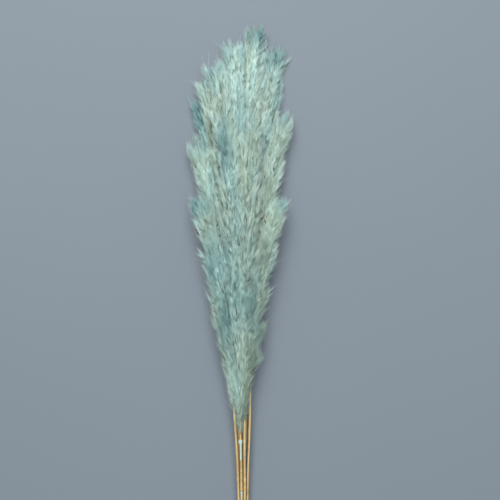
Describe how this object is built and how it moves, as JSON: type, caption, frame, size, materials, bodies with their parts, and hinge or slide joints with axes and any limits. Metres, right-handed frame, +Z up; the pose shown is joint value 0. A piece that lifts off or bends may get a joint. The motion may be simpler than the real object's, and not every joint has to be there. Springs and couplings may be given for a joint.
{
  "type": "bundle of dyed pampas grass",
  "caption": "Bundle of dried pampas grass dyed pale blue-green, gathered by an elastic band near the cut ends and laid flat, with long overlapping plumes on bare straw-coloured stems.",
  "frame": {"origin": "on the surface the bundle lies on, under the middle of its bounding box", "axes": "+Z up from that surface, +Y along the bundle from the cut ends to the plume tips, +X to the right seen from above with the tips away"},
  "size_m": [0.193, 1.15, 0.1208],
  "materials": {
    "culm": "dried grass stem, smooth straw with long fibres, satin",
    "fluff_aqua": "dyed dried plume hair, bluish teal, matt and silky",
    "fluff_mint": "dyed dried plume hair, pale mint, matt and silky",
    "fluff_sage": "dyed dried plume hair, sage grey-green, matt and silky",
    "leaf_sheath": "dyed dried leaf sheath, thin, papery and torn",
    "latex": "natural latex, satin"
  },
  "bodies": {
    "root": {"stem_01": "culm", "stem_02": "culm", "stem_03": "culm", "stem_04": "culm", "stem_05": "culm", "stem_06": "culm", "stem_07": "culm", "stem_08": "culm", "stem_09": "culm", "stem_10": "culm", "stem_11": "culm", "stem_12": "culm", "plume_01": "fluff_aqua", "plume_02": "fluff_aqua", "plume_03": "fluff_mint", "plume_04": "fluff_mint", "plume_05": "fluff_sage", "plume_06": "fluff_mint", "plume_07": "fluff_sage", "plume_08": "fluff_mint", "plume_09": "fluff_aqua", "plume_10": "fluff_sage", "plume_11": "fluff_mint", "plume_12": "fluff_sage", "sheath_scrap_1": "leaf_sheath", "sheath_scrap_2": "leaf_sheath", "elastic_band": "latex"}
  },
  "joints": []
}
